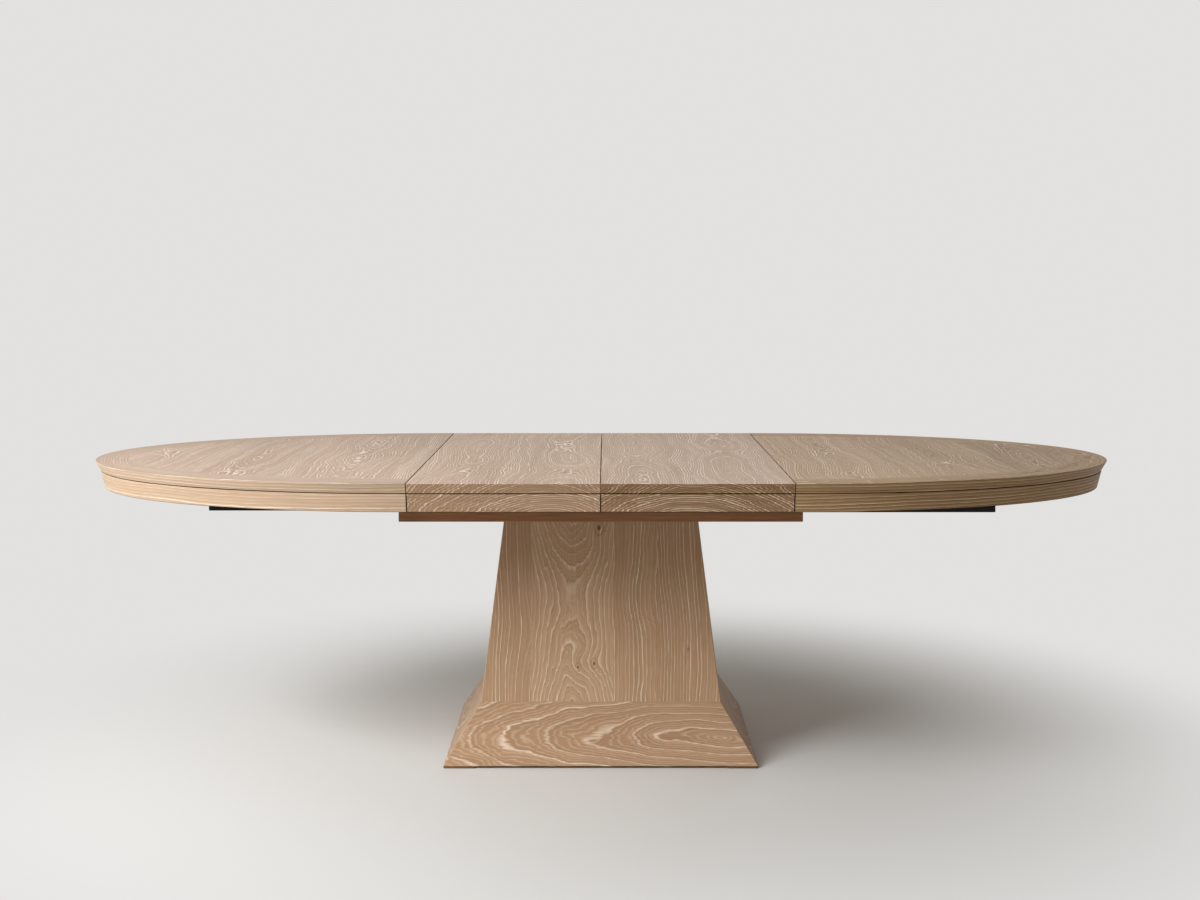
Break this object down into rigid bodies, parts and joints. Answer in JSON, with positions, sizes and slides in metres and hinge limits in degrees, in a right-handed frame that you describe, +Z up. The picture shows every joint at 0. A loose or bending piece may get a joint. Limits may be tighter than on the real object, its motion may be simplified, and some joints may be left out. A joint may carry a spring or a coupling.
{
  "type": "extending dining table",
  "caption": "Oval pedestal dining table that extends at the middle, with lift-out leaves on geared slides and a tapered box pedestal.",
  "frame": {"origin": "on the floor, below the middle of the table", "axes": "+X along the table's length, -Y towards the front of the picture, +Z up"},
  "size_m": [2.7106, 1.22, 0.762],
  "materials": {
    "oak_top": "limed oak veneer, matt lacquer",
    "oak_apron": "limed oak veneer, matt lacquer",
    "oak_column": "limed oak veneer, matt lacquer",
    "oak_skirt": "limed oak veneer, matt lacquer",
    "foot_wood": "stained wood",
    "carrier_wood": "brown stained wood, matt",
    "hidden_wood": "plain planed wood",
    "rail_black": "black anodised aluminium, satin",
    "glide_plastic": "matt",
    "gear_plastic": "matt",
    "fixing_steel": "zinc plated, satin",
    "pin_brass": "satin"
  },
  "bodies": {
    "pedestal": {"column_front": "oak_column", "column_right": "oak_column", "column_back": "oak_column", "column_left": "oak_column", "skirt_front": "oak_skirt", "skirt_right": "oak_skirt", "skirt_back": "oak_skirt", "skirt_left": "oak_skirt", "base_plate": "hidden_wood", "column_corner_blocks": "hidden_wood", "column_top_plate": "hidden_wood", "gear_block": "hidden_wood", "corner_feet": "foot_wood", "carrier_board": "carrier_wood", "carrier_fixings": "fixing_steel", "gear_axle": "fixing_steel", "front_fixed_rail": "rail_black", "back_fixed_rail": "rail_black", "rail_glides": "glide_plastic", "rack_guides": "fixing_steel"},
    "pinion": {"pinion_gear": "gear_plastic"},
    "right_end": {"right_end_top": "oak_top", "right_end_apron": "oak_apron", "right_front_slide": "rail_black", "right_back_slide": "rail_black", "right_slide_stops": "glide_plastic", "right_end_battens": "hidden_wood", "right_rack": "fixing_steel", "right_end_screws": "fixing_steel", "right_lock_pivots": "fixing_steel", "right_seam_pins": "pin_brass"},
    "right_leaf": {"right_leaf_top": "oak_top", "right_leaf_front_apron": "oak_apron", "right_leaf_back_apron": "oak_apron", "right_leaf_bearers": "hidden_wood", "right_leaf_lock_studs": "fixing_steel", "right_leaf_seam_pins": "pin_brass", "right_leaf_lock_pivots": "fixing_steel"},
    "left_end": {"left_end_top": "oak_top", "left_end_apron": "oak_apron", "left_front_slide": "rail_black", "left_back_slide": "rail_black", "left_slide_stops": "glide_plastic", "left_end_battens": "hidden_wood", "left_rack": "fixing_steel", "left_end_screws": "fixing_steel", "left_lock_pivots": "fixing_steel", "left_seam_pins": "pin_brass"},
    "left_leaf": {"left_leaf_top": "oak_top", "left_leaf_front_apron": "oak_apron", "left_leaf_back_apron": "oak_apron", "left_leaf_bearers": "hidden_wood", "left_leaf_lock_studs": "fixing_steel"},
    "right_front_lock_lever": {"right_front_lock_lever": "fixing_steel"},
    "right_back_lock_lever": {"right_back_lock_lever": "fixing_steel"},
    "left_front_lock_lever": {"left_front_lock_lever": "fixing_steel"},
    "left_back_lock_lever": {"left_back_lock_lever": "fixing_steel"},
    "middle_front_lock_lever": {"middle_front_lock_lever": "fixing_steel"},
    "middle_back_lock_lever": {"middle_back_lock_lever": "fixing_steel"}
  },
  "joints": [
    {"name": "right_end_slide", "type": "slide", "parent": "pedestal", "child": "right_end", "axis": [1, 0, 0], "range_m": [0, 0.07]},
    {"name": "left_end_slide", "type": "slide", "parent": "pedestal", "child": "left_end", "axis": [-1, 0, 0], "range_m": [0, 0.07]},
    {"name": "pinion_spin", "type": "hinge", "parent": "pedestal", "child": "pinion", "pos_m": [0, 0, 0.71], "axis": [0, 0, 1], "range_deg": [0, 148.55]},
    {"name": "right_leaf_lift", "type": "slide", "parent": "pedestal", "child": "right_leaf", "axis": [0, 0, 1], "range_m": [0, 0.3]},
    {"name": "left_leaf_lift", "type": "slide", "parent": "right_leaf", "child": "left_leaf", "axis": [0, 0, 1], "range_m": [0, 0.3]},
    {"name": "right_front_lock_turn", "type": "hinge", "parent": "right_end", "child": "right_front_lock_lever", "pos_m": [0.487, -0.455, 0.7317], "axis": [0, 0, -1], "range_deg": [0, 90]},
    {"name": "right_back_lock_turn", "type": "hinge", "parent": "right_end", "child": "right_back_lock_lever", "pos_m": [0.487, 0.455, 0.7317], "axis": [0, 0, 1], "range_deg": [0, 90]},
    {"name": "left_front_lock_turn", "type": "hinge", "parent": "left_end", "child": "left_front_lock_lever", "pos_m": [-0.487, -0.455, 0.7317], "axis": [0, 0, 1], "range_deg": [0, 90]},
    {"name": "left_back_lock_turn", "type": "hinge", "parent": "left_end", "child": "left_back_lock_lever", "pos_m": [-0.487, 0.455, 0.7317], "axis": [0, 0, -1], "range_deg": [0, 90]},
    {"name": "middle_front_lock_turn", "type": "hinge", "parent": "right_leaf", "child": "middle_front_lock_lever", "pos_m": [0.03, -0.455, 0.7317], "axis": [0, 0, -1], "range_deg": [0, 90]},
    {"name": "middle_back_lock_turn", "type": "hinge", "parent": "right_leaf", "child": "middle_back_lock_lever", "pos_m": [0.03, 0.455, 0.7317], "axis": [0, 0, 1], "range_deg": [0, 90]}
  ],
  "couplings": [
    {"joint": "left_end_slide", "follows": "right_end_slide", "ratio": 1},
    {"joint": "pinion_spin", "follows": "right_end_slide", "rad_per_m": 37.037}
  ]
}
